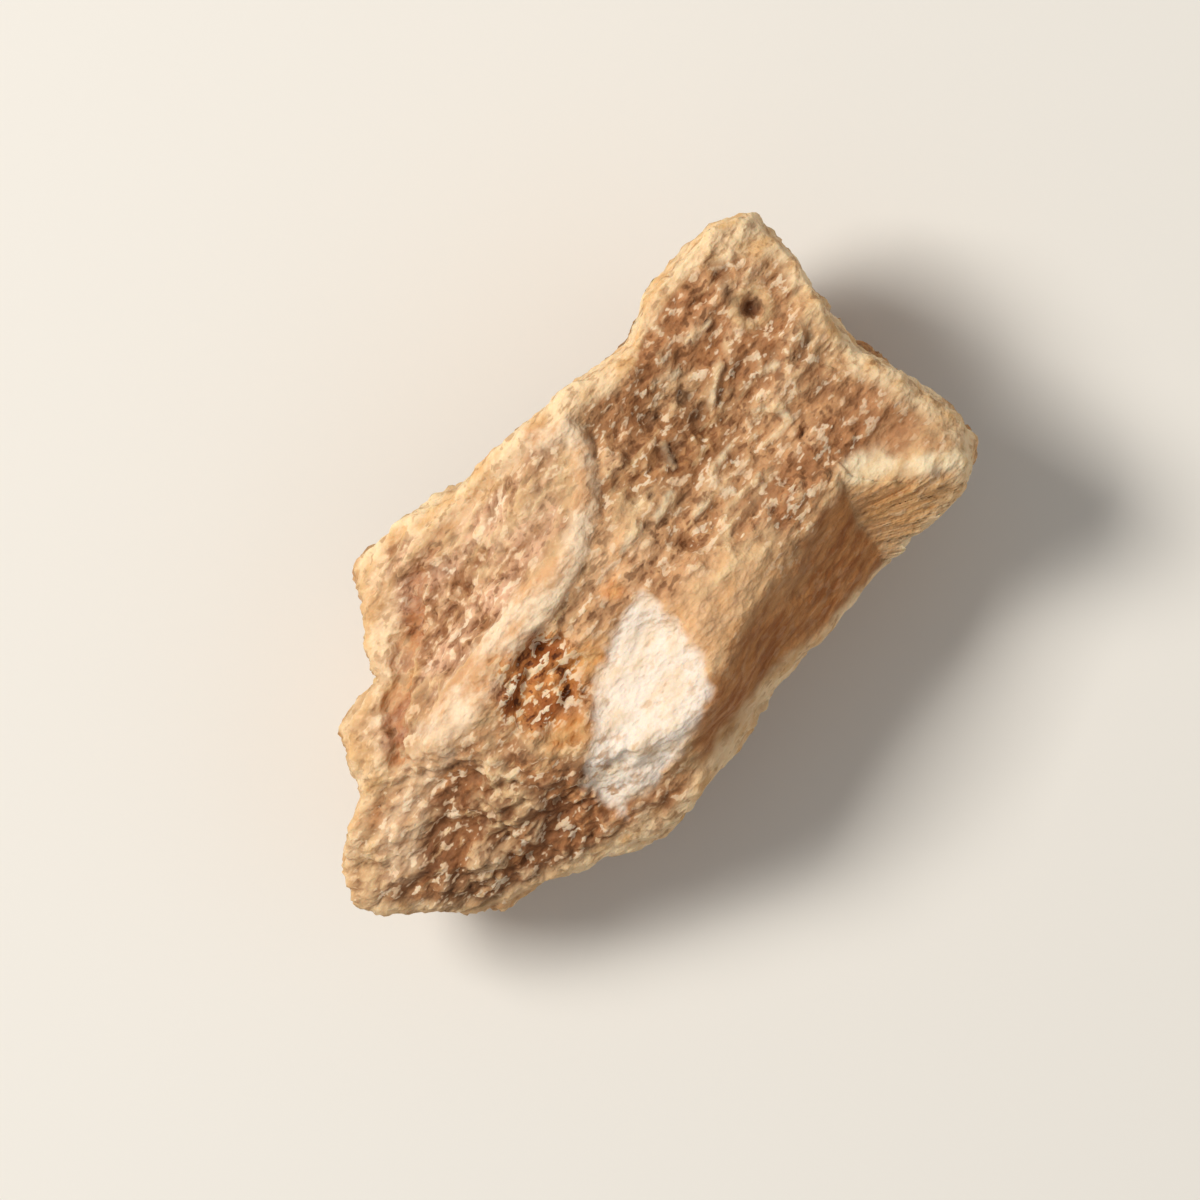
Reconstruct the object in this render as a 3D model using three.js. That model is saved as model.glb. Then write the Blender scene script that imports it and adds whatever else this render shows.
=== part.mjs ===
// Ginger root: one dried, chopped piece, lying on its flattest break.
// Millimetres, +Z up. +X runs along the fibres, towards the end that was cut square across them.
// The root was sliced, dried hard and broken up, so the piece is a block of flat breaks with
// scars where smaller flakes came off. It is one solid of root all through.
import * as THREE from 'three';
import { mergeVertices } from 'three/addons/utils/BufferGeometryUtils.js';

// Driving dimensions
const LENGTH = 9.4; // along the fibres
const WIDTH = 5.0; // across the fibres
const HEIGHT = 3.8; // resting break to the top of the ridge
const WIDEST_AT = 2.4; // height at which the sides reach furthest out
const SIDE_SLANT = 0.07; // how far the upright corners lean along the piece, per millimetre down
const EDGE_WEAR = 0.16; // width of the rubbed edge between two breaks
const FACE_WAVE = 0.035; // how far a break swells or sinks along the fibres
const FLAT_BELOW = 0.5; // the waves die out over this height above the resting break
const HEART = new THREE.Vector3(0, -0.1, 1.7); // a point that sees the whole surface
const SIDE_SHARE = 0.75; // distance straight out from a side, as a share of the distance from the heart
const SQUARES = [38, 21, 16]; // small squares along, across and up the piece
const SEARCH = { from: 7, step: 0.05, halvings: 24 }; // how the surface is found in each direction

// Corners of the piece seen from above, going round: x, y, and how far the side below the
// corner draws in, per millimetre down from its widest height.
const SIDE_CORNERS = [
  [4.74, 1.72, 0.12], [4.42, 0.4, 0.04], [4.34, -0.3, 0.02], [4.4, -1.0, 0.06], // square-cut end
  [4.48, -2.12, 0.16], [3.95, -2.42, 0.14], [3.2, -2.42, 0.08], [2.1, -2.33, 0.02], // right side
  [1.2, -2.34, 0.04], [0.1, -2.44, 0.06], [-1.72, -2.56, 0.16], [-2.08, -2.32, 0.18], [-2.85, -1.9, 0.12], [-3.6, -1.64, 0.1], // lower break
  [-4.22, -1.0, 0.16], [-4.88, -0.16, 0.22], // narrow tip
  [-3.65, 0.5, 0.08], [-3.2, 1.18, 0.12], [-2.45, 1.25, 0.02], [-2.2, 1.7, 0.04], // notched side
  [-1.48, 2.62, 0.22], [-0.6, 2.28, 0.12], [0, 2.1, 0.05], [1.6, 1.93, 0.03], // left side
  [2.55, 1.78, 0.01], [3.1, 1.97, 0.05], [4.32, 2.0, 0.12],
];

// Flat breaks: a point that each passes through, then the compass angle and the upward tilt
// that it faces, in degrees.
const BREAKS = [
  [0.6, -0.3, 3.7, -30, 84], // broad upper break
  [-0.52, 0.41, 3.8, 121, 62], // left break, down from the ridge
  [-1.9, 0.22, 3.66, 152, 63], // left break, towards the tip
  [-1.75, -0.6, 3.62, -166, 62.5], // slope down to the tip
  [-3.0, -1.15, 2.75, -125, 48], // steeper drop to the lower break
  [4.05, -1.9, 3.42, -48, 74], // worn corner
  [4.25, 0.3, 3.58, -8, 40], // lip of the square-cut end
  [0.8, -2.15, 0.75, -83, -34], // undercut, right
  [-0.3, 2.0, 0.6, 105, -34], // undercut, left
  [4.25, 0.2, 0.8, 14, -27], // undercut, square-cut end
  [-3.9, 0.1, 0.75, -170, -48], // undercut, tip
  [3.7, -1.8, 0.5, -47, -30], // undercut, right corner
  [2.6, 1.75, 0.4, 64, -47], // undercut, left corner
  [-2.4, 1.3, 0.5, 141, -26], // undercut, notched side
  [-2.7, -1.9, 0.6, -122, -36], // undercut, lower break
  [0, 0, 0, 0, -90], // the resting break
];

// Splits that stop short: root is missing only where it is outside both breaks, each given as
// above. The first is the long bevel down the right side and the step below the worn corner.
const SPLITS = [
  [[1.0, -1.56, 3.52, -78, 41], [3.4, -1.56, 3.42, -136, 45]],
  [[1.6, -2.08, 1.3, -93, -15], [0.3, -2.2, 1.35, -28, -42]], // low on the right side
  [[-1.4, -2.2, 1.5, -97, -24], [-0.9, -2.2, 1.5, -160, -40]], // right side, towards the tip
  [[1.8, 1.78, 1.2, 88, -12], [0.5, 1.9, 1.5, 28, -40]], // low on the left side
  [[-0.9, 2.15, 1.3, 108, -32], [-0.4, 2.0, 1.4, 165, -38]], // left side, towards the tip
  [[4.14, 0.7, 1.4, 6, -30], [4.3, 0.1, 1.75, 62, -55]], // square-cut end
];

// Scars where a flake came away: a point on the surface, the compass angle and upward tilt
// that it faces, the radius that it curves to, and its depth.
const SCARS = [
  [-0.4, -1.3, 3.6, 125, 76, 2.8, 0.1], // fresh scar at the edge of the bevel
  [-1.14, -0.23, 3.72, -150, 78, 0.9, 0.1], // pit
  [2.2, 0.1, 3.58, -30, 84, 7.0, 0.12], // broad upper break
  [-1.0, 1.35, 3.25, 121, 62, 5.0, 0.1], // left break
  [-2.9, -0.7, 3.02, -166, 62.5, 3.5, 0.08], // slope down to the tip
  [1.2, -2.2, 1.0, -88, 0, 3.0, 0.12], // right side
  [-0.4, 2.05, 1.1, 95, -4, 3.0, 0.12], // left side
  [-3.0, -1.75, 1.1, -112, -4, 2.5, 0.1], // lower side
];

function facing(compass, tilt) {
  const a = THREE.MathUtils.degToRad(compass);
  const b = THREE.MathUtils.degToRad(tilt);
  return new THREE.Vector3(Math.cos(a) * Math.cos(b), Math.sin(a) * Math.cos(b), Math.sin(b));
}

// The larger of two distances, with the corner between them worn round.
function wornMax(a, b) {
  const h = Math.max(EDGE_WEAR - Math.abs(a - b), 0) / EDGE_WEAR;
  return Math.max(a, b) + (h * h * EDGE_WEAR) / 4;
}

// How far a point is outside the sides, in plan: the straight side in that direction is found,
// and the point's reach is compared with it.
const corners = SIDE_CORNERS
  .map(([x, y, draw]) => ({ x: x - HEART.x, y: y - HEART.y, draw }))
  .map((corner) => ({ ...corner, angle: Math.atan2(corner.y, corner.x) }))
  .sort((p, q) => p.angle - q.angle);

function outsideSides(point) {
  const depth = WIDEST_AT - point.z;
  const x = point.x - HEART.x - SIDE_SLANT * depth;
  const y = point.y - HEART.y;
  const angle = Math.atan2(y, x);
  const reach = Math.max(Math.hypot(x, y), 1e-9);
  let i = corners.findIndex((corner) => corner.angle > angle);
  if (i < 0) i = 0;
  const to = corners[i];
  const from = corners[(i + corners.length - 1) % corners.length];
  const ex = to.x - from.x;
  const ey = to.y - from.y;
  const limit = (reach * (from.x * ey - from.y * ex)) / (x * ey - y * ex);
  const turn = (value) => (value + 4 * Math.PI) % (2 * Math.PI);
  const share = turn(angle - from.angle) / turn(to.angle - from.angle);
  const draw = from.draw + share * (to.draw - from.draw);
  return SIDE_SHARE * (reach - limit + draw * Math.max(depth, 0));
}

function breakPlane([x, y, z, compass, tilt]) {
  return new THREE.Plane().setFromNormalAndCoplanarPoint(facing(compass, tilt), new THREE.Vector3(x, y, z));
}

const breaks = BREAKS.map(breakPlane);
const splits = SPLITS.map((pair) => pair.map(breakPlane));
const scars = SCARS.map(([x, y, z, compass, tilt, radius, depth]) => (
  new THREE.Sphere(new THREE.Vector3(x, y, z).addScaledVector(facing(compass, tilt), radius - depth), radius)
));

// Below zero inside the root, above zero in the air. Two crossed waves, 2 to 8 mm long, swell and
// sink the breaks a little.
function outside(point) {
  let far = outsideSides(point);
  for (const plane of breaks) far = wornMax(far, plane.distanceToPoint(point));
  for (const [a, b] of splits) far = wornMax(far, Math.min(a.distanceToPoint(point), b.distanceToPoint(point)));
  for (const ball of scars) far = wornMax(far, -ball.distanceToPoint(point));
  const wave = Math.sin(0.8 * point.x + 1.3 * point.z + 0.4) * Math.sin(2.9 * point.y + 1.7 * point.z)
    + 0.6 * Math.sin(1.9 * point.x - 3.4 * point.y + 2.1);
  return far + FACE_WAVE * wave * THREE.MathUtils.smoothstep(point.z, 0.1, FLAT_BELOW);
}

// The surface point in one direction from the heart, found from the air inwards.
function surfacePoint(direction) {
  const at = (t) => HEART.clone().addScaledVector(direction, t);
  let air = SEARCH.from;
  while (outside(at(air - SEARCH.step)) > 0) air -= SEARCH.step;
  let root = air - SEARCH.step;
  for (let i = 0; i < SEARCH.halvings; i += 1) {
    const middle = (air + root) / 2;
    if (outside(at(middle)) > 0) air = middle;
    else root = middle;
  }
  return at((air + root) / 2);
}

// A box is divided into small squares, and every corner of them is pulled onto the breaks.
function rootPiece() {
  const box = new THREE.BoxGeometry(LENGTH, WIDTH, HEIGHT, ...SQUARES);
  box.deleteAttribute('normal');
  box.deleteAttribute('uv');
  const geometry = mergeVertices(box);
  const spots = geometry.getAttribute('position');
  const spot = new THREE.Vector3();
  for (let i = 0; i < spots.count; i += 1) {
    spot.copy(surfacePoint(spot.fromBufferAttribute(spots, i).normalize()));
    if (Math.abs(spot.z) < 0.001) spot.z = 0;
    spots.setXYZ(i, spot.x, spot.y, spot.z);
  }
  // brought to its exact size, standing on z = 0 over the origin
  geometry.computeBoundingBox();
  const size = geometry.boundingBox.getSize(new THREE.Vector3());
  const middle = geometry.boundingBox.getCenter(new THREE.Vector3());
  geometry.translate(-middle.x, -middle.y, -geometry.boundingBox.min.z);
  geometry.scale(LENGTH / size.x, WIDTH / size.y, HEIGHT / size.z);
  geometry.computeVertexNormals();
  return geometry;
}

const driedGinger = new THREE.MeshStandardMaterial({ color: 0xc79b6c, roughness: 0.85, metalness: 0 });

const ginger = new THREE.Group();
const piece = new THREE.Mesh(rootPiece(), driedGinger);
piece.name = 'ginger_piece';
ginger.add(piece);

export default ginger;
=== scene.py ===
import math

import bpy
import numpy as np
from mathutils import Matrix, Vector


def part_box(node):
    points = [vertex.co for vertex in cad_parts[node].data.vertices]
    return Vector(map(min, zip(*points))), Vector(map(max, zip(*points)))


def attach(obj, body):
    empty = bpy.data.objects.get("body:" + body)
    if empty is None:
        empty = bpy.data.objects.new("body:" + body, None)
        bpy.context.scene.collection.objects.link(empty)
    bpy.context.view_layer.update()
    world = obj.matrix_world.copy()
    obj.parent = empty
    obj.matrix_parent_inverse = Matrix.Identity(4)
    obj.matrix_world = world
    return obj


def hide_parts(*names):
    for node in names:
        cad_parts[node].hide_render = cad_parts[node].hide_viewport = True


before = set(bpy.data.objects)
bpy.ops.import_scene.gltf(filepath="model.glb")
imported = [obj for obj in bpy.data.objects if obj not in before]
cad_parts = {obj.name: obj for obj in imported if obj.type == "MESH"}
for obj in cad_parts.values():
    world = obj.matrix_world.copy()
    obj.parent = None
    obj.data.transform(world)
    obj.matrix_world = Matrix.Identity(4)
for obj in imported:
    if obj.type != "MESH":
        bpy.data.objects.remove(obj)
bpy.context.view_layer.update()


# The ginger piece, its block. The root was sliced, dried until it was hard, and broken up, so
# the piece is a block of nearly flat breaks with shallow scars where flakes came off.
# Sizes here are in millimetres, with x along the root's fibres and z up from the resting break.

heart = np.array([0.0, -0.1, 1.7])      # a point inside that sees the whole surface
widest_at = 2.4                         # height at which the sides reach furthest out
side_slant = 0.07                       # lean of the upright corners, per millimetre down
side_share = 0.75                       # the sides count for this much of their distance in plan
split_slant = 5                         # how steeply each break of a split falls away past the other
edge_wear = 0.13                        # width of the rubbed edge between two breaks

# corners seen from above, going round: x, y, and how far the side draws in per millimetre down
side_corners = np.array([
    (4.74, 1.72, 0.12), (4.42, 0.40, 0.04), (4.34, -0.30, 0.02), (4.40, -1.00, 0.06),
    (4.48, -2.12, 0.16), (3.95, -2.42, 0.14), (3.20, -2.42, 0.08), (2.10, -2.33, 0.02),
    (1.20, -2.34, 0.04), (0.10, -2.44, 0.06), (-1.72, -2.56, 0.16), (-2.08, -2.32, 0.18),
    (-2.85, -1.90, 0.12), (-3.60, -1.64, 0.10),
    (-4.22, -1.00, 0.16), (-4.88, -0.16, 0.22), (-3.65, 0.50, 0.08), (-3.20, 1.18, 0.12),
    (-2.45, 1.25, 0.02), (-2.20, 1.70, 0.04), (-1.48, 2.62, 0.22), (-0.60, 2.28, 0.12),
    (0.00, 2.10, 0.05), (1.60, 1.93, 0.03), (2.55, 1.78, 0.01), (3.10, 1.97, 0.05),
    (4.32, 2.00, 0.12)])

# flat breaks, each with its name, a point it passes through, its compass angle and its upward tilt
breaks = [
    ("upper", 0.6, -0.3, 3.7, -30, 84), ("left", -0.52, 0.41, 3.8, 121, 62),
    ("left", -1.9, 0.22, 3.66, 152, 63), ("slope", -1.75, -0.6, 3.62, -166, 62.5),
    ("slope", -3.0, -1.15, 2.75, -125, 48),
    ("corner", 4.05, -1.9, 3.42, -48, 74),
    ("lip", 4.25, 0.3, 3.58, -8, 40), ("under", 0.8, -2.15, 0.75, -83, -34),
    ("under", -0.3, 2.0, 0.6, 105, -34), ("under", 4.25, 0.2, 0.8, 14, -27),
    ("under", -3.9, 0.1, 0.75, -170, -48), ("under", 3.7, -1.8, 0.5, -47, -30),
    ("under", 2.6, 1.75, 0.4, 64, -47), ("under", -2.4, 1.3, 0.5, 141, -26),
    ("under", -2.7, -1.9, 0.6, -122, -36), ("base", 0, 0, 0, 0, -90)]

# scars, each with the break it is in, a point, the way it faces, the radius it curves to, its depth
scars = [
    ("upper", -0.4, -1.3, 3.6, 125, 76, 2.8, 0.1), ("upper", -1.14, -0.23, 3.72, -150, 78, 0.9, 0.1),
    ("upper", 2.2, 0.1, 3.58, -30, 84, 7.0, 0.12), ("left", -1.0, 1.35, 3.25, 121, 62, 5.0, 0.1),
    ("slope", -2.9, -0.7, 3.02, -166, 62.5, 3.5, 0.08),
    ("side", 1.2, -2.2, 1.0, -88, 0, 3.0, 0.12), ("side", -0.4, 2.05, 1.1, 95, -4, 3.0, 0.12),
    ("side", -3.0, -1.75, 1.1, -112, -4, 2.5, 0.1)]

# splits that stop short: root is missing only where it is outside both of the breaks named
splits = [(("bevel", 1.0, -1.56, 3.52, -78, 41), ("step", 3.4, -1.56, 3.42, -136, 45)),
          (("side", 1.6, -2.08, 1.3, -93, -15), ("side", 0.3, -2.2, 1.35, -28, -42)),
          (("side", -1.4, -2.2, 1.5, -97, -24), ("side", -0.9, -2.2, 1.5, -160, -40)),
          (("side", 1.8, 1.78, 1.2, 88, -12), ("side", 0.5, 1.9, 1.5, 28, -40)),
          (("side", -0.9, 2.15, 1.3, 108, -32), ("side", -0.4, 2.0, 1.4, 165, -38)),
          (("side", 4.14, 0.7, 1.4, 6, -30), ("side", 4.3, 0.1, 1.75, 62, -55))]
surface_names = np.array(["side"] + [b[0] for b in breaks] + [s[0] for s in scars]
                         + [b[0] for pair in splits for b in pair])


def facing(compass, tilt):
    """The unit arrow with this compass angle from +x and this angle up from level."""
    a, b = math.radians(compass), math.radians(tilt)
    return np.array([math.cos(a) * math.cos(b), math.sin(a) * math.cos(b), math.sin(b)])


def outside_sides(p):
    """How far points are outside the sides in plan: a point's reach from the heart, less the
    reach of the straight side in that direction, plus how far the side has drawn in."""
    q = side_corners[:, :2] - heart[:2]
    bearing = np.arctan2(q[:, 1], q[:, 0])
    order = np.argsort(bearing)
    q, bearing, draw = q[order], bearing[order], side_corners[order, 2]
    depth = widest_at - p[:, 2]
    x, y = p[:, 0] - heart[0] - side_slant * depth, p[:, 1] - heart[1]
    angle, reach = np.arctan2(y, x), np.maximum(np.hypot(x, y), 1e-9)
    i = np.searchsorted(bearing, angle) % len(q)
    a, e = q[i - 1], q[i] - q[i - 1]
    limit = reach * (a[:, 0] * e[:, 1] - a[:, 1] * e[:, 0]) / (x * e[:, 1] - y * e[:, 0])
    drawn = np.interp(angle, bearing, draw, period=2 * math.pi)
    return side_share * (reach - limit + drawn * np.maximum(depth, 0))


def distances(p):
    """How far outside each surface the points are, one column for the sides and one for each
    break, scar and half of a split: a plane's own distance, or a ball's radius less the reach from
    its centre. A half of a split counts less and less where the other half lies further in."""
    columns = [outside_sides(p)]
    for _, x, y, z, compass, tilt in breaks:
        columns.append((p - np.array([x, y, z])) @ facing(compass, tilt))
    for _, x, y, z, compass, tilt, radius, depth in scars:
        centre = np.array([x, y, z]) + facing(compass, tilt) * (radius - depth)
        columns.append(radius - np.linalg.norm(p - centre, axis=1))
    for pair in splits:
        a, b = [(p - np.array([x, y, z])) @ facing(compass, tilt) for _, x, y, z, compass, tilt in pair]
        columns += [a - split_slant * np.maximum(a - b, 0), b - split_slant * np.maximum(b - a, 0)]
    return np.stack(columns, axis=1)


def outside(p):
    """The largest of the distances, with each corner between two of them worn round: where two
    are within the wear width, a quarter of the squared overlap is added."""
    columns = distances(p)
    far = columns[:, 0]
    for other in columns[:, 1:].T:
        overlap = np.maximum(edge_wear - np.abs(far - other), 0) / edge_wear
        far = np.maximum(far, other) + overlap ** 2 * edge_wear / 4
    return far


def hashed(i, seed):
    """A steady random whole number of 30 bits for each row of whole numbers: each is multiplied
    by a large prime, all are mixed bit by bit, and the result is folded on itself three times."""
    h = i[..., 0] * 73856093 ^ i[..., 1] * 19349663 ^ i[..., 2] * 83492791 ^ seed * 2654435761
    h = h & 0xFFFFFFFF
    h = ((h ^ (h >> 15)) * 2246822519) & 0xFFFFFFFF
    h = ((h ^ (h >> 13)) * 3266489917) & 0xFFFFFFFF
    return (h ^ (h >> 16)) & 0x3FFFFFFF


def swells(p, size, seed):
    """Smooth random swells from about -1 to 1, one size apart: each corner of the cell that a
    point lies in tilts its own way, and the tilts are blended by eased shares of the way across."""
    q = p / np.asarray(size, float)
    cell = np.floor(q).astype(np.int64)
    t = q - cell
    share = t * t * t * (t * (6 * t - 15) + 10)
    total = 0
    for corner in np.array([(i, j, k) for i in (0, 1) for j in (0, 1) for k in (0, 1)]):
        h = hashed(cell + corner, seed)
        tilt = np.stack([h & 1023, (h >> 10) & 1023, h >> 20], axis=1) / 511.5 - 1
        part = np.where(corner, share, 1 - share).prod(axis=1)
        total = total + part * ((t - corner) * tilt).sum(axis=1)
    return 1.5 * total


def grains(p, size, seed):
    """Packed grains, one in each cell: the distance from each point to the nearest grain's
    middle, as a share of the cell, and that grain's own random number."""
    q = p / np.asarray(size, float)
    cell = np.floor(q).astype(np.int64)
    near, own = np.full(len(p), 9.0), np.zeros(len(p))
    for neighbour in np.array([(i, j, k) for i in (-1, 0, 1) for j in (-1, 0, 1) for k in (-1, 0, 1)]):
        c = cell + neighbour
        h = hashed(c, seed)
        middle = c + 0.1 + 0.8 * np.stack([h & 1023, (h >> 10) & 1023, h >> 20], axis=1) / 1023
        d = np.linalg.norm(q - middle, axis=1)
        closer = d < near
        own = np.where(closer, ((h * 7919) & 1023) / 1023, own)
        near = np.where(closer, d, near)
    return near, own


def eased(value, low, high):
    """0 below low, 1 above high, and a smooth S between them."""
    t = np.clip((value - low) / (high - low), 0, 1)
    return t * t * (3 - 2 * t)


def box_grid(size, counts):
    """A closed box of small squares: on each face, two parameters run over the grid, and the
    points that faces share along the box's edges are joined."""
    spots, squares, start = [], [], 0
    for axis in range(3):
        a, b = (axis + 1) % 3, (axis + 2) % 3
        for way in (-1, 1):
            s, t = np.meshgrid(np.linspace(-1, 1, counts[a] + 1), np.linspace(-1, 1, counts[b] + 1),
                               indexing="ij")
            face = np.zeros((s.size, 3))
            face[:, axis], face[:, a], face[:, b] = way, s.ravel(), t.ravel()
            n = np.arange(s.size).reshape(s.shape) + start
            square = np.stack([n[:-1, :-1], n[1:, :-1], n[1:, 1:], n[:-1, 1:]], axis=-1).reshape(-1, 4)
            squares.append(square if way > 0 else square[:, ::-1])
            spots.append(face)
            start += s.size
    spots = np.concatenate(spots)
    _, keep, same = np.unique(np.round(spots * 1e6).astype(np.int64), axis=0,
                              return_index=True, return_inverse=True)
    return spots[keep] * np.asarray(size) / 2, same.ravel()[np.concatenate(squares)]


def inwards(direction, reach, sideways, steps):
    """Surface points: along each direction from the heart, a point steps inwards from its reach
    by most of its distance from the root, until there is none left."""
    for _ in range(steps):
        reach = reach - 0.8 * outside(heart + direction * reach[:, None] + sideways)
    return reach


# squares about 0.046 mm across
direction, squares = box_grid((9.4, 5.1, 3.8), (204, 108, 82))
direction /= np.linalg.norm(direction, axis=1, keepdims=True)
past_the_root = 6.5                     # further from the heart than any of the surface
reach = inwards(direction, np.full(len(direction), past_the_root), 0, 45)
block = heart + direction * reach[:, None]
# a brittle root's edges run crooked, by about 0.1 mm over each millimetre and less over less
crooked = np.stack([0.13 * swells(block, (1.3, 0.8, 0.8), 11 + k)
                    + 0.045 * swells(block, (0.5, 0.34, 0.34), 21 + k)
                    + 0.02 * swells(block, (0.2, 0.14, 0.14), 31 + k) for k in range(3)], axis=1)
crooked *= eased(block[:, 2], 0.02, 0.5)[:, None]
block = heart + direction * inwards(direction, reach + 0.3, crooked, 30)[:, None]
# the way each point faces, from how the distance outside changes over 0.03 mm each way
nudge = 0.03
normal = np.stack([outside(block + crooked + nudge * axis) - outside(block + crooked - nudge * axis)
                   for axis in np.eye(3)], axis=1)
normal /= np.linalg.norm(normal, axis=1, keepdims=True)
x, y, z = block.T
upward = eased(normal[:, 2], 0.15, 0.5)


# The broken surface. Each break shows the root's own build: dried crumbs of flesh, a little
# longer along the root, pale stringy fibres that run from end to end, and rust-brown pits where
# oil and fibre bundles dried out. The breaks were made when the dried root was chopped.

# the share of each kind of break at each point, changing over 0.05 mm where two kinds meet
apart = distances(block + crooked)
shares = np.exp((apart - apart.max(axis=1, keepdims=True)) / 0.05)
shares /= shares.sum(axis=1, keepdims=True)
on = {name: shares[:, surface_names == name].sum(axis=1) for name in dict.fromkeys(surface_names)}
# a ragged margin, which keeps every patch and line below from having a clean rim
ragged = 0.13 * swells(block, 0.3, 41) + 0.07 * swells(block, 0.12, 42)


def beside(*points):
    """How far each surface point is, in plan, from a line through the given points."""
    points = np.array(points, float)
    best = np.full(len(block), 9.0)
    for a, b in zip(points[:-1], points[1:]):
        e = b - a
        t = np.clip(((x - a[0]) * e[0] + (y - a[1]) * e[1]) / (e @ e), 0, 1)
        best = np.minimum(best, np.hypot(x - a[0] - t * e[0], y - a[1] - t * e[1]))
    return best


def within(corners, soft):
    """1 inside a convex patch given by its corners, fading to 0 over the soft width at its rim."""
    corners = np.array(corners, float)
    inside = np.full(len(block), 9.0)
    for a, b in zip(corners, np.roll(corners, -1, axis=0)):
        e = (b - a) / np.linalg.norm(b - a)
        inside = np.minimum(inside, (y - a[1]) * e[0] - (x - a[0]) * e[1])
    return eased(inside + ragged, -soft, soft) * upward


def spot(at, width, fade=0.5):
    """1 at the middle of a ragged oval spot seen from above, and 0 past its rim."""
    out = np.hypot((x - at[0]) / width[0], (y - at[1]) / width[1]) + ragged / max(width)
    return (1 - eased(out, 1 - fade, 1 + 0.3 * fade)) * upward


def line(points, width, fade):
    """1 along a ragged line seen from above, and 0 past its width."""
    return (1 - eased(beside(*points) + 0.6 * ragged, width, width + fade)) * upward


# the white scar of a fresh break, creamier towards its lower end
fresh = within([(0.45, -0.36), (-0.1, -0.42), (-0.64, -0.66), (-1.28, -1.08), (-1.72, -1.45),
                (-1.65, -2.0), (-0.8, -2.02), (0.0, -1.84), (0.32, -1.48)], 0.07)
fresh_low = fresh * eased(-x + 0.3 * y + 2 * ragged, 0.3, 1.5)
# the rusty pit beside it: red-brown, orange to the right, with starch crystals
pit = spot((-1.20, -0.15), (0.74, 0.60), 0.45)
pit_orange = np.maximum(spot((-0.66, -0.42), (0.36, 0.26), 0.7),
                        0.85 * spot((-1.45, -0.82), (0.45, 0.24), 0.8))
# the stringy ridge between the two upper breaks, broad and then faint towards the tip
ridge_points = [(0.92, 1.86), (1.25, 1.62), (1.22, 1.33), (0.90, 0.99), (0.51, 0.71), (0.08, 0.55),
                (-0.89, 0.47), (-1.69, 0.40), (-2.41, 0.32), (-3.05, 0.18), (-3.46, -0.05), (-3.9, -0.35)]
ridge_width = 0.05 + 0.13 * eased(-x, -0.6, 0.8)
ridge = (1 - eased(beside(*ridge_points) + 0.5 * ragged, ridge_width, ridge_width + 0.15)) * upward
ridge *= 1 - 0.6 * eased(-x, 1.9, 2.9)
# the reddish crease beside the left edge: a thin line that opens into a groove; its dark red-brown is
# partly the root's colour and partly painted shade in the groove
crease_points = [(0.9, 1.86), (0.1, 1.88), (-0.6, 1.94), (-1.1, 1.84), (-1.51, 1.59), (-1.86, 1.36),
                 (-2.31, 1.07), (-2.77, 0.78), (-3.0, 0.5)]
crease_width = 0.015 + 0.05 * eased(-x, 0.9, 1.5) * (1 - eased(-x, 2.4, 3.0))
crease = 1 - eased(beside(*crease_points) + 0.9 * ragged, crease_width, crease_width + 0.12)
crease *= upward * (0.45 + 0.55 * eased(-x, 0.9, 1.4))
# the pale rim all round, where the piece is thin: wide on the left side and at the upper corner, which face
# the light, so its cream is partly painted highlight
inwards_by = -outside_sides(block + crooked) / side_share
rim_width = (0.10 + 0.16 * eased(y - 0.2 * x, 0.2, 1.2) + 0.14 * eased(x, 2.2, 3.2) * eased(y, 1.0, 1.4)
             + 0.25 * spot((4.5, 1.7), (0.8, 0.5), 1) + 0.18 * eased(-x, 1.0, 2.0) * eased(y, 0.4, 1.2))
pale_rim_and_highlight = 1 - eased(inwards_by + 0.5 * ragged, rim_width, rim_width + 0.16)
pale_rim_and_highlight *= eased(normal[:, 2], -0.3, 0.1) * eased(z, 1.9, 2.4)
pale_rim_and_highlight *= 0.55 + 0.45 * eased(swells(block, 0.8, 43) + 0.8 * eased(x, 1.5, 3), -0.5, 0.1)
pale_rim_and_highlight *= 1 - 0.35 * eased(-x, 2.0, 3.0)
bevel_rim_width = 0.08 + 0.2 * eased(x, 0.8, 1.8)
bevel_rim = (1 - eased(inwards_by + 0.3 * ragged, 0.02, bevel_rim_width)) * on["bevel"]
pale_rim_and_highlight = np.maximum(pale_rim_and_highlight, 0.4 * bevel_rim)
pale_rim_and_highlight = np.maximum(pale_rim_and_highlight, spot((-1.8, -2.3), (0.5, 0.2), 0.8))
# the worn corner between the upper break and the bevel, and its edge
worn = np.maximum(spot((3.26, -1.36), (0.36, 0.24), 0.6),
                  0.9 * line([(3.4, -1.5), (3.75, -1.8), (4.1, -2.15)], 0.06, 0.12))
# the cut end of a fibre bundle: a pale ring about 0.4 mm across round a dark hole
bundle_top = np.hypot(x - 3.79, y - 0.95) / 0.22 + 0.8 * ragged
bundle = np.exp(-((bundle_top - 0.95) / 0.3) ** 2) * upward
hole = (1 - eased(bundle_top, 0.25, 0.7)) * upward
# dark holes where crumbs fell out, each with its place and its half widths, and a dark crack
holes = [((1.84, 0.5), (0.26, 0.16)), ((2.40, 0.56), (0.2, 0.13)), ((2.46, 0.80), (0.12, 0.08)),
         ((2.05, 0.95), (0.14, 0.09)), ((1.35, 0.35), (0.12, 0.08)), ((-1.21, -1.57), (0.15, 0.07)),
         ((-1.0, -1.45), (0.08, 0.05)), ((-1.38, -1.5), (0.08, 0.05))]
for at, width in holes:
    hole = np.maximum(hole, 0.85 * spot(at, width, 0.8))
hole = np.maximum(hole, 0.5 * line([(3.87, 1.62), (3.72, 1.2)], 0.03, 0.1))
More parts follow.
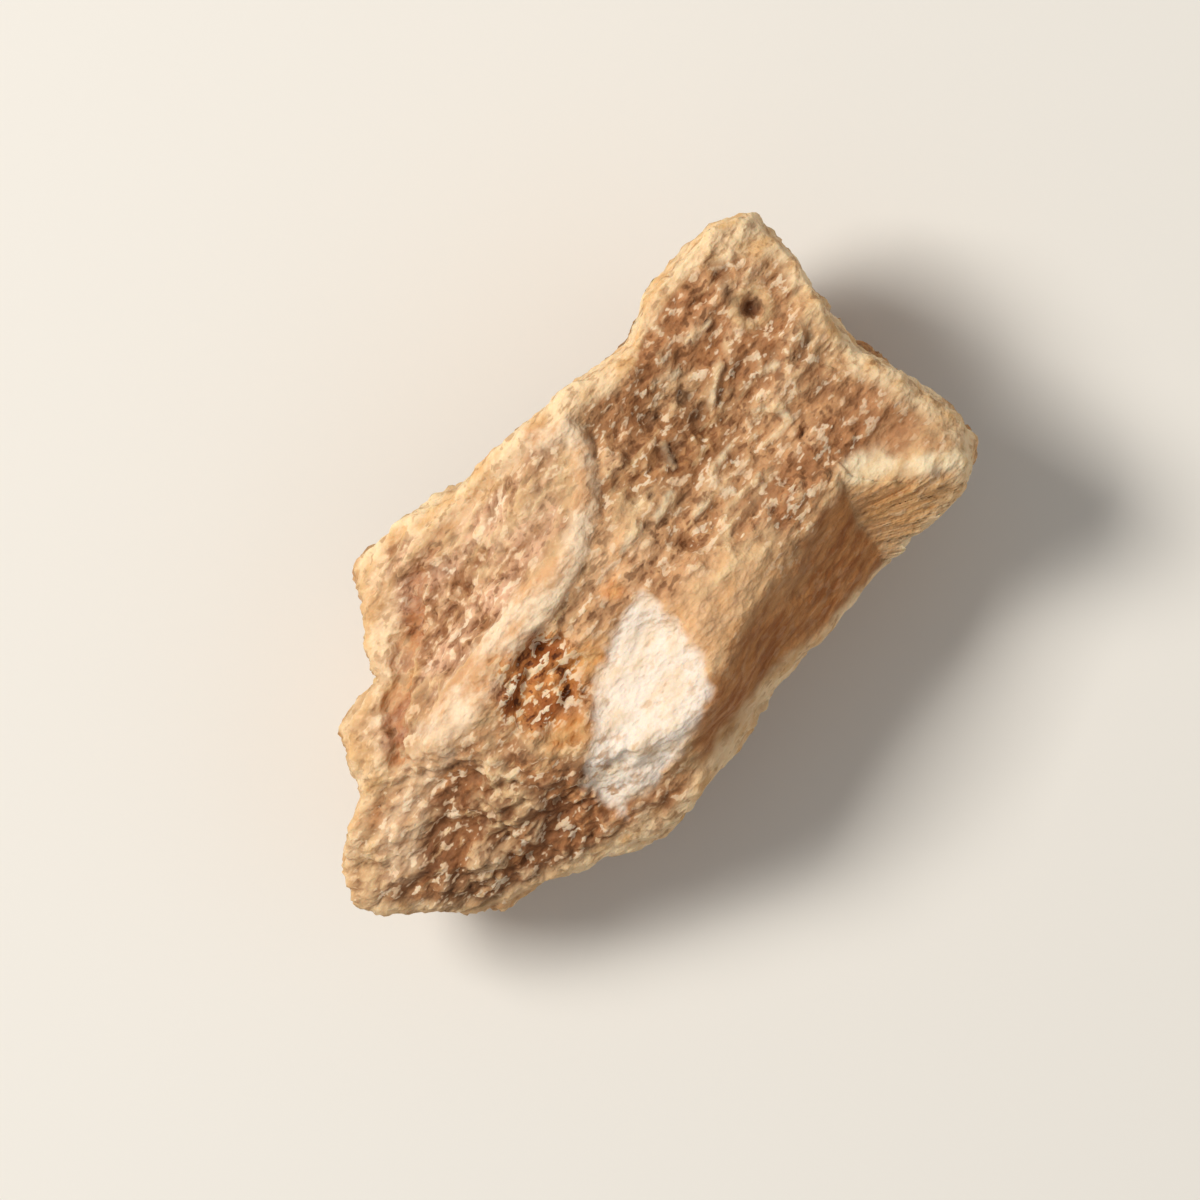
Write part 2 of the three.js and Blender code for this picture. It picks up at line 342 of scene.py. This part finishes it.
# orange oil spots, the bright middle of the piece, and the browner flesh of the upper break
oil_spot = np.maximum(spot((0.17, -0.10), (0.15, 0.12), 0.8), 0.6 * spot((3.38, -1.85), (0.14, 0.08), 0.8))
bright = spot((0.4, 0.1), (1.1, 0.6), 1)
brown = np.exp(-((x - 2.1) / 1.3) ** 2 - ((y - 0.6) / 0.7) ** 2) * on["upper"]
# short fibres that stand up out of the upper break
short_fibres = [
    [(2.97, 1.28), (3.34, 1.19)], [(2.59, 0.52), (3.0, 0.77)],
    [(2.90, 0.09), (3.15, -0.10), (3.09, -0.30), (2.68, -0.28)], [(2.04, -0.02), (2.40, 0.03)],
    [(1.88, 0.62), (1.77, 0.38)], [(2.28, -0.49), (2.36, -0.46)], [(1.5, -0.2), (1.75, -0.25)],
    [(1.2, 0.1), (1.5, 0.16)], [(3.3, 0.35), (3.5, 0.25)], [(0.62, 0.15), (0.95, 0.2)],
    [(2.3, 1.2), (2.62, 1.1)]]
standing = np.zeros(len(block))
for points in short_fibres:
    standing = np.maximum(standing, (1 - eased(beside(*points) + 0.3 * ragged, 0.01, 0.055)) * upward)

# more cut fibre bundles on the square-cut end: rings about 0.27 mm across, 0.62 mm apart, with
# about a third of their places empty
end_face = eased(normal[:, 0], 0.55, 0.85)
near, own = grains(block * np.array([0.02, 1, 1]) + 5, (1.0, 0.62, 0.62), 51)
near = near + 0.5 * ragged
bundle = np.maximum(bundle, 0.8 * np.exp(-((near - 0.22) / 0.07) ** 2) * (own > 0.35) * end_face)
hole = np.maximum(hole, 0.7 * (1 - eased(near, 0.06, 0.17)) * (own > 0.35) * end_face)

# a strip of the thin brown skin is left low on the left side
skin = (eased(y, 1.2, 1.5) * (1 - eased(z + 3 * ragged + 0.25 * np.sin(1.3 * x), 1.5, 1.75))
        * eased(x + 4 * ragged, -1.6, -1.2) * (1 - eased(x + 4 * ragged, 2.6, 3.0))
        * (on["side"] + on["under"]))

# how coarse the flesh is: bold on the upper break and the slope, faint on the smooth bevel
patchy = swells(block, (1.5, 0.8, 0.8), 61)
smooth_part = (eased(-y + 0.35 * (1 - x) + 1.2 * ragged, 0.35, 0.95) * on["upper"]
               * eased(x, -1.0, -0.6) * eased(-x, -2.3, -1.5))
coarse = (1.15 * on["upper"] * (1 - 0.8 * smooth_part) + 1.15 * on["left"] + 1.15 * on["slope"]
          + 0.1 * on["bevel"] + 0.4 * on["corner"] + 0.3 * on["step"] + 0.6 * on["lip"]
          + 0.85 * on["side"] + 0.8 * on["under"] + 0.45 * on["base"])
coarse *= (np.clip(1 + 0.5 * patchy, 0.3, 1.5) * (1 - 0.8 * fresh) * (1 - 0.6 * worn)
           * (1 - 0.45 * ridge) * (1 - 0.45 * pale_rim_and_highlight) * (1 - 0.8 * skin))
coarse *= (1 - 0.6 * spot((3.85, -1.35), (0.8, 0.7), 1)) * (1 - 0.45 * bright)
coarse += 0.75 * pit

# crumbs of three sizes, each with sharp clefts between rounded tops, and small hollows at about
# four grains in ten
lean = block + 0.05 * np.stack([swells(block, 0.22, 71 + k) for k in range(3)], axis=1)
crumbs = (0.55 * np.abs(swells(lean, (0.60, 0.36, 0.36), 81))
          + 0.42 * np.abs(swells(lean, (0.30, 0.17, 0.17), 82))
          + 0.30 * np.abs(swells(lean, (0.15, 0.10, 0.10), 83)) - 0.33)
near, own = grains(lean, (0.34, 0.2, 0.2), 84)
dimple = (1 - eased(near, 0.12, 0.42)) * (own > 0.62)
lump = swells(block, (0.8, 0.5, 0.5), 85)
# fibres: long ridges drawn out along the root, in patches
strings = ((1 - np.abs(swells(block, (2.0, 0.20, 0.20), 91))) ** 7
           + 0.7 * (1 - np.abs(swells(block + 3, (1.1, 0.12, 0.12), 92))) ** 8)
stringy = eased(swells(block, (1.2, 0.6, 0.6), 93), -0.15, 0.45)
stringy = stringy * (1 - fresh) * (1 - end_face) * (1 - pit)
strings = np.clip(strings * np.maximum(stringy, 0.8 * ridge), 0, 1)
strings = strings * (1 - 0.85 * (on["bevel"] + on["step"]))
wrinkle = (1 - np.abs(swells(block, (0.25, 0.9, 0.9), 94))) ** 3

# how far each point stands out from the plain break, in millimetres
lift = (coarse * (0.18 * crumbs + 0.05 * lump - 0.055 * dimple) + 0.045 * strings
        + 0.06 * ridge - 0.14 * crease - 0.05 * fresh - 0.07 * pit - 0.09 * hole + 0.035 * bundle
        + 0.03 * worn + skin * (0.05 + 0.03 * wrinkle)
        + fresh * (0.03 * swells(block, (0.7, 0.4, 0.4), 95) + 0.008 * swells(block, 0.13, 96))
        + 0.06 * standing + 0.04 * pit * swells(block, 0.16, 97) - 0.02 * oil_spot)
lift *= eased(z, 0.01, 0.2) * (1 - on["base"])
lift -= on["base"] * (0.03 * np.maximum(-crumbs, 0) + 0.03 * dimple + 0.03 * strings)
rough = block + normal * lift[:, None]
rough[:, 2] = np.where(on["base"] > 0.5, np.maximum(block[:, 2] - lift * 0.8, 0),
                       np.maximum(rough[:, 2], 0))

# crumb clefts get painted shade, crumb tops a painted highlight, and edges between two kinds of break dry
# to a pale cream that is partly painted highlight
painted_cleft_shade = np.clip(np.minimum(coarse, 1) * (-4.0 * crumbs - 0.15 + 0.8 * dimple), 0, 1)
painted_top_highlight = np.clip(np.minimum(coarse, 1) * (5.5 * crumbs - 0.35), 0, 1)
reached = np.stack([apart[:, surface_names == name].max(axis=1) for name in on], axis=1)
two = np.sort(reached, axis=1)[:, -2:]
pale_edge_and_highlight = np.exp(-np.maximum(two[:, 1] - two[:, 0], 0) / 0.09) * (1 - on["base"])

# brought into the size of the CAD solid, in metres
low, high = (np.array(c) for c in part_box("ginger_piece"))
low_now, high_now = rough.min(axis=0), rough.max(axis=0)
rough = low + (rough - low_now) / (high_now - low_now) * (high - low)

mesh = bpy.data.meshes.new("ginger_root")
mesh.from_pydata([], [], [])
mesh.vertices.add(len(rough))
mesh.vertices.foreach_set("co", rough.astype(np.float32).ravel())
mesh.loops.add(squares.size)
mesh.loops.foreach_set("vertex_index", squares.astype(np.int32).ravel())
mesh.polygons.add(len(squares))
mesh.polygons.foreach_set("loop_start", np.arange(0, squares.size, 4, dtype=np.int32))
mesh.update(calc_edges=True)
mesh.validate()
mesh.shade_smooth()
piece = bpy.data.objects.new("ginger_root", mesh)
bpy.context.scene.collection.objects.link(piece)

# each kind of surface, and each mask of painted shade or highlight, is kept in the mesh as a share from 0
# to 1, for the colours to follow
flank = on["side"] + on["under"] + on["base"]
# painted shade: the flesh on the lower part of the slope is darkened where that face turns away from the
# light
painted_shade = (on["slope"] * eased(-x - 0.5 * y + 2 * ragged, 2.2, 3.0) * eased(-y, 0.0, 0.5)
          * eased(-x, 1.9, 2.3))
kinds = {"slope": on["slope"], "bevel": on["bevel"], "left": on["left"], "flank": flank,
         "smooth_part": smooth_part, "brown": brown, "fresh": fresh, "fresh_low": fresh_low,
         "pit": pit, "pit_orange": pit_orange, "worn": worn, "ridge": ridge, "crease": crease,
         "pale_rim_and_highlight": pale_rim_and_highlight, "hole": hole, "oil_spot": oil_spot, "bundle": bundle, "standing": standing,
         "skin": skin, "flesh": np.ones(len(block)), "bright": bright,
         "step": on["step"] + on["corner"], "painted_shade": painted_shade, "strings": strings, "pale_edge_and_highlight": pale_edge_and_highlight,
         "painted_cleft_shade": painted_cleft_shade, "painted_top_highlight": painted_top_highlight, "coarse": coarse}
for name, share in kinds.items():
    layer = mesh.attributes.new(name, "FLOAT", "POINT")
    layer.data.foreach_set("value", np.clip(share, 0, 1).astype(np.float32))


# The look of dried ginger: hard, dull, starchy flesh that dried to the colour of biscuit, with painted
# shade between the grains, cream where a fibre stands free, cream on the edges that is partly painted
# highlight, and nearly white where it was broken last. It lets a little light in, which gives the eye soft
# shadows and glowing edges.

def linear(hex_colour):
    """An sRGB hex colour as linear red, green, blue and alpha."""
    parts = [int(hex_colour[i:i + 2], 16) / 255 for i in (1, 3, 5)]
    return [c / 12.92 if c <= 0.04045 else ((c + 0.055) / 1.055) ** 2.4 for c in parts] + [1.0]


def add_node(tree, kind, settings=None, **links):
    """Adds a node. Settings are its own options; links are its inputs, by name or as i and their
    number, each a value, a socket of another node, or a hex colour."""
    node = tree.nodes.new(kind)
    for key, value in (settings or {}).items():
        setattr(node, key, value)
    for key, value in links.items():
        by_number = key[0] == "i" and key[1:].isdigit()
        socket = node.inputs[int(key[1:]) if by_number else key.replace("_", " ")]
        if isinstance(value, bpy.types.NodeSocket):
            tree.links.new(value, socket)
        else:
            socket.default_value = linear(value) if isinstance(value, str) else value
    return node


dried_ginger = bpy.data.materials.new("dried_ginger")
dried_ginger.use_nodes = True
tree = dried_ginger.node_tree
tree.nodes.clear()
place = add_node(tree, "ShaderNodeTexCoord").outputs["Object"]
# metres to millimetres, so that each scale below is one over a real size in millimetres
mm = add_node(tree, "ShaderNodeMapping", Vector=place, Scale=(1000, 1000, 1000)).outputs["Vector"]
along = add_node(tree, "ShaderNodeMapping", Vector=mm, Scale=(0.16, 1, 1)).outputs["Vector"]
longish = add_node(tree, "ShaderNodeMapping", Vector=mm, Scale=(0.6, 1, 1)).outputs["Vector"]

# patches of darker and lighter flesh, mottling and specks, all a little longer along the root,
# fibres drawn out along it, and dust, each with its real size in millimetres
patterns = {}
for name, vector, across, detail, roughness in (
        ("patches", longish, 1.2, 3.0, 0.5), ("mottle", longish, 0.3, 4.0, 0.6),
        ("speckle", longish, 0.12, 2.0, 0.6), ("threads", along, 0.11, 3.0, 0.55),
        ("dust", mm, 0.05, 4.0, 0.65)):
    patterns[name] = add_node(tree, "ShaderNodeTexNoise", Vector=vector, Scale=1 / across,
                              Detail=detail, Roughness=roughness).outputs["Fac"]
# cell walls, 0.075 mm apart
patterns["cells"] = add_node(tree, "ShaderNodeTexVoronoi", {"feature": "F1"}, Vector=longish,
                             Scale=1 / 0.075).outputs["Distance"]

# Coats of colour, from the flesh up. Each gives where it lies, the patterns that it shows through
# (from none at the first value to all at the second), how strong it is, two colours, and the
# pattern that turns the first colour into the second.
coats = [
    # the flesh, break by break, with violet-brown and pinkish patches
    ("flesh", [], 1.0, "#BC8150", "#D0A073", ("patches", 0.35, 0.65)),
    ("flesh", [("patches", 0.56, 0.46)], 0.35, "#8E6247", "#B5835F", ("mottle", 0.35, 0.6)),
    ("bright", [], 0.95, "#F0BA86", "#F6CCA0", ("mottle", 0.3, 0.7)),
    ("smooth_part", [], 1.0, "#DCA872", "#ECC093", ("mottle", 0.3, 0.7)),
    ("brown", [], 0.75, "#B07C4C", "#90603A", ("mottle", 0.35, 0.65)),
    ("left", [], 1.0, "#DBAE8C", "#A97B54", ("mottle", 0.38, 0.66)),
    ("left", [("speckle", 0.50, 0.58)], 0.55, "#E9C7A6", "#D8AC86", ("mottle", 0.3, 0.6)),
    ("slope", [], 0.92, "#D49763", "#8C5835", ("mottle", 0.34, 0.60)),
    # painted shade on the lower slope, where it turns away from the light
    ("painted_shade", [], 0.55, "#744322", "#54301A", ("mottle", 0.35, 0.6)),
    ("step", [], 0.85, "#DCA56A", "#CC9152", ("mottle", 0.35, 0.65)),
    ("flank", [], 0.8, "#B5824E", "#CB9C66", ("patches", 0.35, 0.65)),
    # the bevel's dark, warm brown is partly its own colour and partly painted shade for a face turned away
    # from the light
    ("bevel", [], 0.92, "#9A5B2A", "#BC804A", ("threads", 0.36, 0.62)),
    # crumbs: rust-brown painted shade in the clefts, painted highlight on the tops, and specks of starch
    ("painted_cleft_shade", [], 0.8, "#7C4A27", "#96623B", ("mottle", 0.4, 0.6)),
    ("painted_top_highlight", [], 0.6, "#EACBA0", "#E6BE94", ("mottle", 0.4, 0.6)),
    ("coarse", [("speckle", 0.55, 0.63)], 0.75, "#F6E2C4", "#EBC9A2", ("mottle", 0.3, 0.7)),
    ("coarse", [("speckle", 0.45, 0.35)], 0.7, "#7A4826", "#5F3719", ("mottle", 0.4, 0.6)),
    ("flesh", [("cells", 0.5, 0.75), ("mottle", 0.4, 0.6)], 0.35, "#7A4E2A", "#8E5D38",
     ("mottle", 0.4, 0.6)),
    # pale threads, and edges and rims whose cream is partly painted highlight
    ("coarse", [("threads", 0.56, 0.70), ("patches", 0.4, 0.6)], 0.45, "#EBCB98", "#E4BC8A",
     ("mottle", 0.4, 0.6)),
    ("strings", [("patches", 0.38, 0.5)], 0.7, "#F0D2A4", "#E6C090", ("mottle", 0.4, 0.6)),
    ("pale_edge_and_highlight", [("mottle", 0.25, 0.55)], 0.5, "#EFD0A0", "#E8C492", ("speckle", 0.4, 0.6)),
    # the rim's cream is partly the pale edge of the root and partly painted highlight
    ("pale_rim_and_highlight", [], 0.85, "#F8DCB2", "#DDAF78", ("mottle", 0.40, 0.68)),
    ("pale_rim_and_highlight", [("speckle", 0.46, 0.36)], 0.5, "#A56F3F", "#8F5B34", ("mottle", 0.4, 0.6)),
    ("ridge", [], 0.85, "#F8E0C0", "#D9A87A", ("mottle", 0.40, 0.66)),
    ("worn", [], 0.9, "#F8E6C2", "#DDB885", ("mottle", 0.38, 0.66)),
    ("standing", [], 0.65, "#F5E0BC", "#EBCB9E", ("speckle", 0.4, 0.6)),
    ("bundle", [], 0.6, "#E8C795", "#DDB885", ("speckle", 0.4, 0.6)),
    # the crease, the pit with its starch crystals, holes, oil spots and the strip of skin
    # the crease's dark red-brown is partly painted shade for its groove
    ("crease", [("speckle", 0.34, 0.54)], 0.7, "#94502B", "#C28353", ("mottle", 0.35, 0.6)),
    ("pit", [], 0.95, "#94501F", "#D48E50", ("mottle", 0.40, 0.60)),
    ("pit_orange", [], 0.8, "#DB8E42", "#E3B478", ("mottle", 0.4, 0.62)),
    ("pit", [("speckle", 0.51, 0.57)], 0.95, "#F7E4C8", "#F0D2A8", ("mottle", 0.3, 0.6)),
    ("pit", [("speckle", 0.42, 0.34)], 0.9, "#4E2814", "#6B3518", ("mottle", 0.3, 0.6)),
    ("hole", [], 0.8, "#5E351C", "#4A2A15", ("mottle", 0.4, 0.6)),
    ("oil_spot", [], 0.9, "#F6B573", "#DB8D4E", ("speckle", 0.38, 0.6)),
    ("skin", [], 0.9, "#7B5837", "#94704A", ("mottle", 0.35, 0.65)),
    # the white scar, flecked towards its lower end
    ("fresh", [], 0.93, "#F8EADA", "#EAD2B4", ("mottle", 0.42, 0.72)),
    ("fresh", [("speckle", 0.42, 0.34)], 0.35, "#D9B48C", "#C99C70", ("mottle", 0.4, 0.6)),
    ("fresh_low", [("speckle", 0.47, 0.38)], 0.75, "#B98658", "#A56F42", ("mottle", 0.4, 0.6)),
]
colour = "#C0875A"
for lies_on, shows_through, strength, first, second, (turned_by, low_turn, high_turn) in coats:
    amount = add_node(tree, "ShaderNodeAttribute", {"attribute_name": lies_on}).outputs["Fac"]
    for pattern, none, all_of_it in shows_through:
        gate = add_node(tree, "ShaderNodeMapRange", {"interpolation_type": "SMOOTHSTEP"},
                        Value=patterns[pattern], From_Min=none, From_Max=all_of_it)
        amount = add_node(tree, "ShaderNodeMath", {"operation": "MULTIPLY"},
                          i0=amount, i1=gate.outputs[0]).outputs[0]
    amount = add_node(tree, "ShaderNodeMath", {"operation": "MULTIPLY", "use_clamp": True},
                      i0=amount, i1=strength)
    turned = add_node(tree, "ShaderNodeMapRange", {"interpolation_type": "SMOOTHSTEP"},
                      Value=patterns[turned_by], From_Min=low_turn, From_Max=high_turn)
    tint = add_node(tree, "ShaderNodeMix", {"data_type": "RGBA"}, i0=turned.outputs[0], i6=first, i7=second)
    colour = add_node(tree, "ShaderNodeMix", {"data_type": "RGBA"},
                      i0=amount.outputs[0], i6=colour, i7=tint.outputs[2]).outputs[2]

# relief too fine for the mesh, each pattern with its strength and its height in micrometres
bump = {}
for pattern, strength, micrometres in (("cells", 0.8, 22), ("speckle", 0.9, 40), ("threads", 0.7, 22),
                                       ("dust", 0.7, 14)):
    bump["Normal"] = add_node(tree, "ShaderNodeBump", Strength=strength, Distance=micrometres * 1e-6,
                              Height=patterns[pattern], **bump).outputs[0]
dullness = add_node(tree, "ShaderNodeMapRange", Value=patterns["dust"],
                    From_Min=0.3, From_Max=0.7, To_Min=0.55, To_Max=0.85)
flesh = add_node(tree, "ShaderNodeBsdfPrincipled", Base_Color=colour, Roughness=dullness.outputs[0],
                 Normal=bump["Normal"], Subsurface_Weight=0.25, Subsurface_Radius=(1.0, 0.55, 0.3),
                 Subsurface_Scale=0.00025, IOR=1.45, Specular_IOR_Level=0.25)
add_node(tree, "ShaderNodeOutputMaterial", Surface=flesh.outputs[0])

mesh.materials.append(dried_ginger)
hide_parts("ginger_piece")
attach(piece, "root")


# The studio: a plain pale floor under the piece, soft light from the upper left, and a camera
# straight above it.

half = 0.4   # of the floor's side, in metres
floor_corners = [(-half, -half, 0), (half, -half, 0), (half, half, 0), (-half, half, 0)]
floor_mesh = bpy.data.meshes.new("floor")
floor_mesh.from_pydata(floor_corners, [], [(0, 1, 2, 3)])
floor = bpy.data.objects.new("floor", floor_mesh)
bpy.context.scene.collection.objects.link(floor)
paper = bpy.data.materials.new("pale_paper")
paper.use_nodes = True
paper.node_tree.nodes["Principled BSDF"].inputs["Base Color"].default_value = linear("#E9E6E0")
paper.node_tree.nodes["Principled BSDF"].inputs["Roughness"].default_value = 0.9
floor_mesh.materials.append(paper)

turn = math.radians(-48)   # the piece lies with its fibres 48 degrees up from level in view
right = np.array([math.cos(turn), math.sin(turn), 0])
up = np.array([-math.sin(turn), math.cos(turn), 0])
middle = np.array([0, 0, 0.0022])   # of the piece, in metres


def lamp(name, towards, distance, size, power, colour):
    """A square soft light: from the piece's middle it stands that distance away along the given
    direction, and faces back along it."""
    light = bpy.data.lights.new(name, "AREA")
    light.size, light.energy, light.color = size, power, colour
    holder = bpy.data.objects.new(name, light)
    towards = np.array(towards, float) / np.linalg.norm(towards)
    holder.location = Vector(middle + towards * distance)
    holder.rotation_euler = Vector(towards).to_track_quat("Z", "Y").to_euler()
    bpy.context.scene.collection.objects.link(holder)


lamp("key", -0.75 * right + 0.25 * up + np.array([0, 0, 0.95]), 0.15, 0.055, 0.22, (1.0, 0.96, 0.90))
lamp("fill", 0.9 * right - 0.2 * up + np.array([0, 0, 0.7]), 0.2, 0.2, 0.03, (1.0, 0.98, 0.95))

world = bpy.data.worlds.new("soft_room")
world.use_nodes = True
world.node_tree.nodes["Background"].inputs["Color"].default_value = (1.0, 0.985, 0.96, 1)
world.node_tree.nodes["Background"].inputs["Strength"].default_value = 0.3
bpy.context.scene.world = world
bpy.context.scene.view_settings.view_transform = "Standard"

camera_height = 0.2   # above the piece's middle, in metres, so a long lens sees it nearly flat
camera_data = bpy.data.cameras.new("camera")
camera_data.lens, camera_data.clip_start, camera_data.clip_end = 500, 0.02, 5
camera = bpy.data.objects.new("camera", camera_data)
camera.location = tuple(middle + np.array([0, 0, camera_height]))
camera.rotation_euler = (0, 0, turn)
bpy.context.scene.collection.objects.link(camera)
bpy.context.scene.camera = camera
